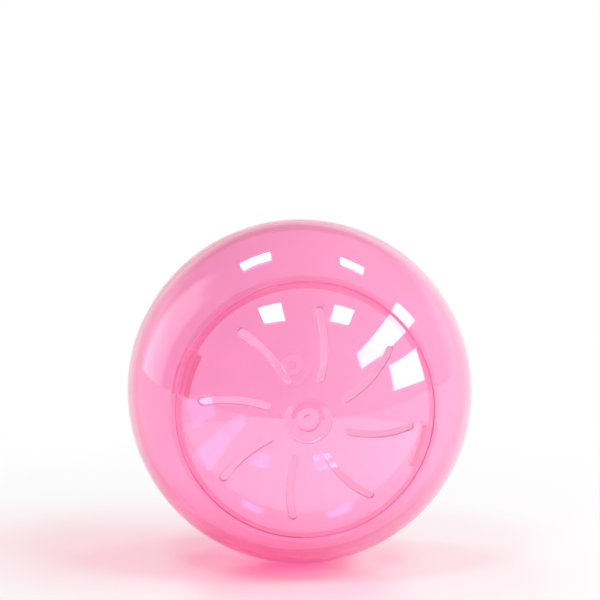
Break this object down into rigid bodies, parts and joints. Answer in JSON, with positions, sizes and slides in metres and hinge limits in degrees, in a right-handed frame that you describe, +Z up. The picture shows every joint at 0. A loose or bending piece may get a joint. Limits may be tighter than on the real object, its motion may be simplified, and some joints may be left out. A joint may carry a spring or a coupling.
{
  "type": "hamster ball",
  "caption": "Hollow see-through exercise ball for a small pet, made of lapped half shells with a round vented lid that twists and lifts off.",
  "frame": {"origin": "centre of the ball", "axes": "Y is the ball's axis, through both hubs, with the lid facing -Y; +Z up; +X to the right seen from in front of the lid"},
  "size_m": [0.12, 0.1198, 0.12],
  "materials": {
    "pink_plastic": "polished, see-through pink"
  },
  "bodies": {
    "front_shell": {"front_shell": "pink_plastic"},
    "back_shell": {"back_shell": "pink_plastic"},
    "lid": {"lid": "pink_plastic"}
  },
  "joints": [
    {"name": "lid_lift", "type": "slide", "parent": "front_shell", "child": "lid", "axis": [0, -1, 0], "range_m": [0, 0.06]},
    {"name": "halves_part", "type": "slide", "parent": "front_shell", "child": "back_shell", "axis": [0, 1, 0], "range_m": [0, 0.05]}
  ]
}
